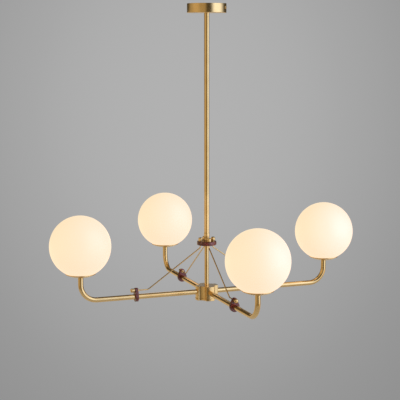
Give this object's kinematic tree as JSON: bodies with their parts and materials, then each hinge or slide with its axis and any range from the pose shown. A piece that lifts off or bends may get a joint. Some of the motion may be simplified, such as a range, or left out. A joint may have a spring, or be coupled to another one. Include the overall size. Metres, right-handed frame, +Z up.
{
  "type": "branch chandelier",
  "caption": "Branch chandelier: bent tube arms from a fluted hub carry opal glass globes, tied by slim stay rods to a disc on the stem below a round canopy.",
  "frame": {"origin": "centre of the ceiling plane, on the stem's axis, at the middle of the ceiling screw slots", "axes": "+Z up along the stem, +X along arm 1; the arms lie along +X, +Y, -X and -Y"},
  "size_m": [0.804, 0.804, 0.7385],
  "materials": {
    "satin_brass": "satin brushed, lacquered",
    "opal_glass": "opal, satin-etched outside, lit from inside",
    "burgundy_leather": "thick saddle leather, burnished edges",
    "zinc_steel": "zinc plated",
    "white_porcelain": "unglazed porcelain",
    "white_plastic": "moulded, matt",
    "bulb_glass": "frosted, lit",
    "cable_sheath": "smooth sheath"
  },
  "bodies": {
    "root": {"ceiling_plate": "zinc_steel", "canopy": "satin_brass", "canopy_side_screws": "satin_brass", "canopy_nipple": "satin_brass", "canopy_lock_nut": "satin_brass", "canopy_washer": "zinc_steel", "terminal_block": "white_plastic", "terminal_screw": "zinc_steel", "earth_screw": "zinc_steel", "upper_stem": "satin_brass", "stem_bush": "satin_brass", "stem_coupler": "satin_brass", "lower_stem": "satin_brass", "stay_disc": "burgundy_leather", "disc_grub_screw": "zinc_steel", "disc_thumb_nuts": "satin_brass", "hub": "satin_brass", "hub_cap": "satin_brass", "hub_cap_screws": "satin_brass", "arm_grub_screws": "zinc_steel", "clamp_grub_screws": "zinc_steel", "clamp_thumb_nuts": "satin_brass", "arm_bushes": "satin_brass", "dish_nipples": "satin_brass", "dish_lock_nuts": "satin_brass", "stem_cable": "cable_sheath", "hub_splice": "white_plastic", "arm_1": "satin_brass", "arm_2": "satin_brass", "arm_3": "satin_brass", "arm_4": "satin_brass", "stay_rod_1": "satin_brass", "stay_rod_2": "satin_brass", "stay_rod_3": "satin_brass", "stay_rod_4": "satin_brass", "clamp_1": "burgundy_leather", "clamp_2": "burgundy_leather", "clamp_3": "burgundy_leather", "clamp_4": "burgundy_leather", "dish_1": "satin_brass", "dish_2": "satin_brass", "dish_3": "satin_brass", "dish_4": "satin_brass", "lampholder_1": "white_porcelain", "lampholder_2": "white_porcelain", "lampholder_3": "white_porcelain", "lampholder_4": "white_porcelain", "arm_cable_1": "cable_sheath", "arm_cable_2": "cable_sheath", "arm_cable_3": "cable_sheath", "arm_cable_4": "cable_sheath"},
    "bulb_1": {"bulb_1": "bulb_glass"},
    "bulb_2": {"bulb_2": "bulb_glass"},
    "bulb_3": {"bulb_3": "bulb_glass"},
    "bulb_4": {"bulb_4": "bulb_glass"},
    "globe_1": {"globe_1": "opal_glass"},
    "globe_2": {"globe_2": "opal_glass"},
    "globe_3": {"globe_3": "opal_glass"},
    "globe_4": {"globe_4": "opal_glass"}
  },
  "joints": [
    {"name": "globe_1_lift", "type": "slide", "parent": "root", "child": "globe_1", "axis": [0, 0, 1], "range_m": [0, 0.08]},
    {"name": "globe_2_lift", "type": "slide", "parent": "root", "child": "globe_2", "axis": [0, 0, 1], "range_m": [0, 0.08]},
    {"name": "globe_3_lift", "type": "slide", "parent": "root", "child": "globe_3", "axis": [0, 0, 1], "range_m": [0, 0.08]},
    {"name": "globe_4_lift", "type": "slide", "parent": "root", "child": "globe_4", "axis": [0, 0, 1], "range_m": [0, 0.08]},
    {"name": "bulb_1_pull", "type": "slide", "parent": "root", "child": "bulb_1", "axis": [0, 0, 1], "range_m": [0, 0.02]},
    {"name": "bulb_2_pull", "type": "slide", "parent": "root", "child": "bulb_2", "axis": [0, 0, 1], "range_m": [0, 0.02]},
    {"name": "bulb_3_pull", "type": "slide", "parent": "root", "child": "bulb_3", "axis": [0, 0, 1], "range_m": [0, 0.02]},
    {"name": "bulb_4_pull", "type": "slide", "parent": "root", "child": "bulb_4", "axis": [0, 0, 1], "range_m": [0, 0.02]}
  ]
}
